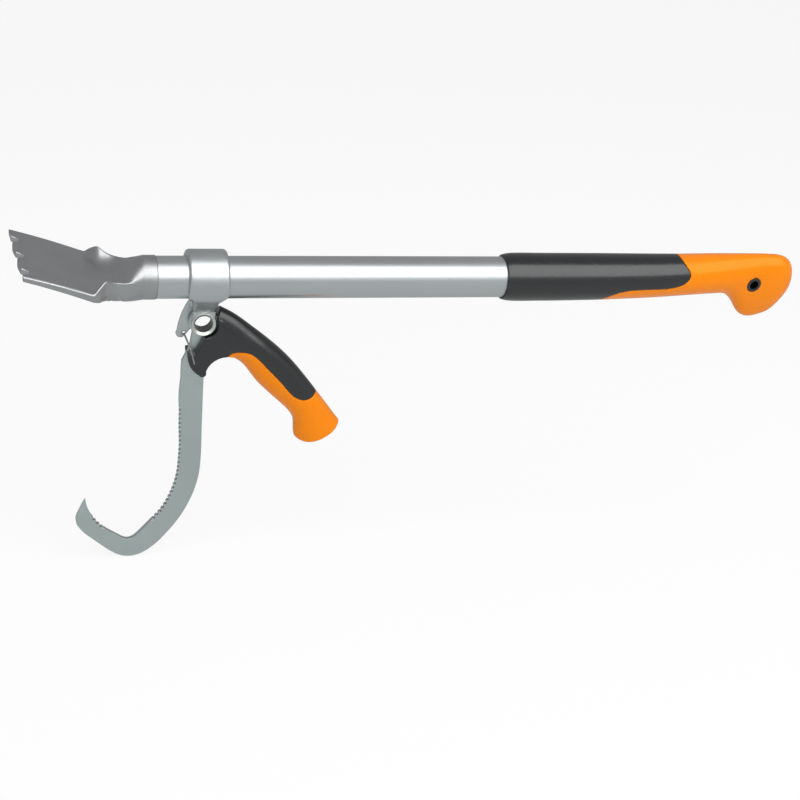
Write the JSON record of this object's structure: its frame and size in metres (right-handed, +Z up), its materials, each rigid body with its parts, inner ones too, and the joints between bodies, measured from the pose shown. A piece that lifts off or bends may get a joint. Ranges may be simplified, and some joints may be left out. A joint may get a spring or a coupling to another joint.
{
  "type": "felling lever",
  "caption": "Felling lever: notched prying blade on a round tube, hooked two-colour grip, and a hinged turning hook with its own handle.",
  "frame": {"origin": "on the tube's axis, in the middle of the hand grip", "axes": "+X along the tube towards the butt of the grip, +Y away from the near side of the hook, +Z up in the hook's plane, away from the hook"},
  "size_m": [0.7882, 0.098, 0.3366],
  "materials": {
    "tube": "satin anodised",
    "hidden_plastic": "moulded",
    "head_steel": "satin grey coating",
    "pin_steel": "plain steel",
    "bracket_steel": "satin silver-grey coating",
    "rivet_steel": "zinc plated",
    "hook_steel": "satin grey coating",
    "orange_grip": "hard moulded plastic, satin",
    "black_grip": "soft moulded cover, fine texture",
    "wire_steel": "spring wire"
  },
  "bodies": {
    "lever": {"lever_tube": "tube", "tube_plug": "hidden_plastic", "blade_head": "head_steel", "head_pin": "pin_steel", "hook_bracket": "bracket_steel", "pivot_rivet": "rivet_steel", "pivot_washer_near": "rivet_steel", "pivot_washer_far": "rivet_steel", "lever_grip_body": "orange_grip", "lever_grip_cover": "black_grip", "hang_hole_liner": "black_grip"},
    "hook": {"hook_bar": "hook_steel", "hook_handle_body": "orange_grip", "hook_handle_cover": "black_grip", "tang_pins": "pin_steel"},
    "latch": {"latch_wire": "wire_steel"}
  },
  "joints": [
    {"name": "hook_swing", "type": "hinge", "parent": "lever", "child": "hook", "pos_m": [-0.394, 0, -0.046], "axis": [0, 1, 0], "range_deg": [-10, 30]},
    {"name": "latch_flex", "type": "hinge", "parent": "hook", "child": "latch", "pos_m": [-0.4014, -0.01195, -0.08533], "axis": [0.9611, 0, 0.276], "range_deg": [0, 15], "stiffness_Nm_per_rad": 0.02}
  ]
}
